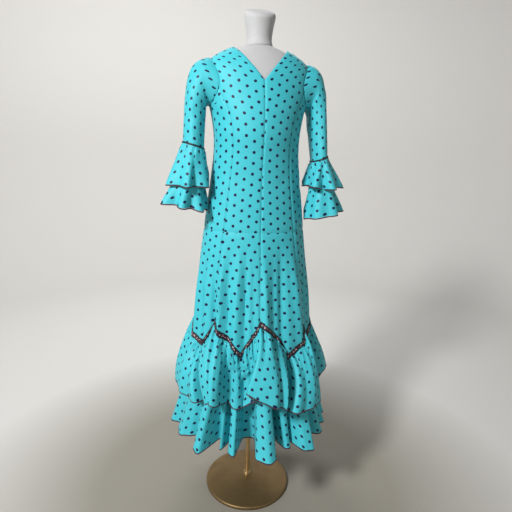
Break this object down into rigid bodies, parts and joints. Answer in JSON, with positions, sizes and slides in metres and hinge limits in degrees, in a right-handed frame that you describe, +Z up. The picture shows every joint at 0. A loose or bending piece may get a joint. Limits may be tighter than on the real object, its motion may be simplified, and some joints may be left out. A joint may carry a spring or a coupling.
{
  "type": "flamenco dress on dress form",
  "caption": "Long flamenco dress with princess seams, ruffled sleeves and two deep flounces, worn by a limbless dress form on a pole and round base.",
  "frame": {"origin": "centre of the underside of the round base, where the stand rests on the floor", "axes": "+Z up along the pole, the dress's front faces -Y, +X is the wearer's left"},
  "size_m": [0.5968, 0.5586, 1.6626],
  "materials": {
    "cloth": "smooth turquoise crepe with dark dots",
    "trim": "ruched burgundy ribbon",
    "binding": "narrow dark bound edge",
    "form": "white jersey over a smooth torso",
    "brass": "aged, softly brushed"
  },
  "bodies": {
    "root": {"base_disc": "brass", "bodice_back_left": "cloth", "bodice_back_right": "cloth", "bodice_front_left": "cloth", "bodice_front_right": "cloth", "bodice_side_back_left": "cloth", "bodice_side_back_right": "cloth", "bodice_side_front_left": "cloth", "bodice_side_front_right": "cloth", "elbow_trim_left": "trim", "elbow_trim_right": "trim", "flounce_lower": "cloth", "flounce_lower_binding": "binding", "flounce_upper": "cloth", "flounce_upper_binding": "binding", "form_neck": "form", "form_torso": "form", "pole": "brass", "pole_collar": "brass", "ruffle_lower_left": "cloth", "ruffle_lower_left_binding": "binding", "ruffle_lower_right": "cloth", "ruffle_lower_right_binding": "binding", "ruffle_upper_left": "cloth", "ruffle_upper_left_binding": "binding", "ruffle_upper_right": "cloth", "ruffle_upper_right_binding": "binding", "skirt_back_left": "cloth", "skirt_back_right": "cloth", "skirt_front_left": "cloth", "skirt_front_right": "cloth", "skirt_side_back_left": "cloth", "skirt_side_back_right": "cloth", "skirt_side_front_left": "cloth", "skirt_side_front_right": "cloth", "sleeve_left": "cloth", "sleeve_right": "cloth", "zigzag_trim": "trim"}
  },
  "joints": []
}
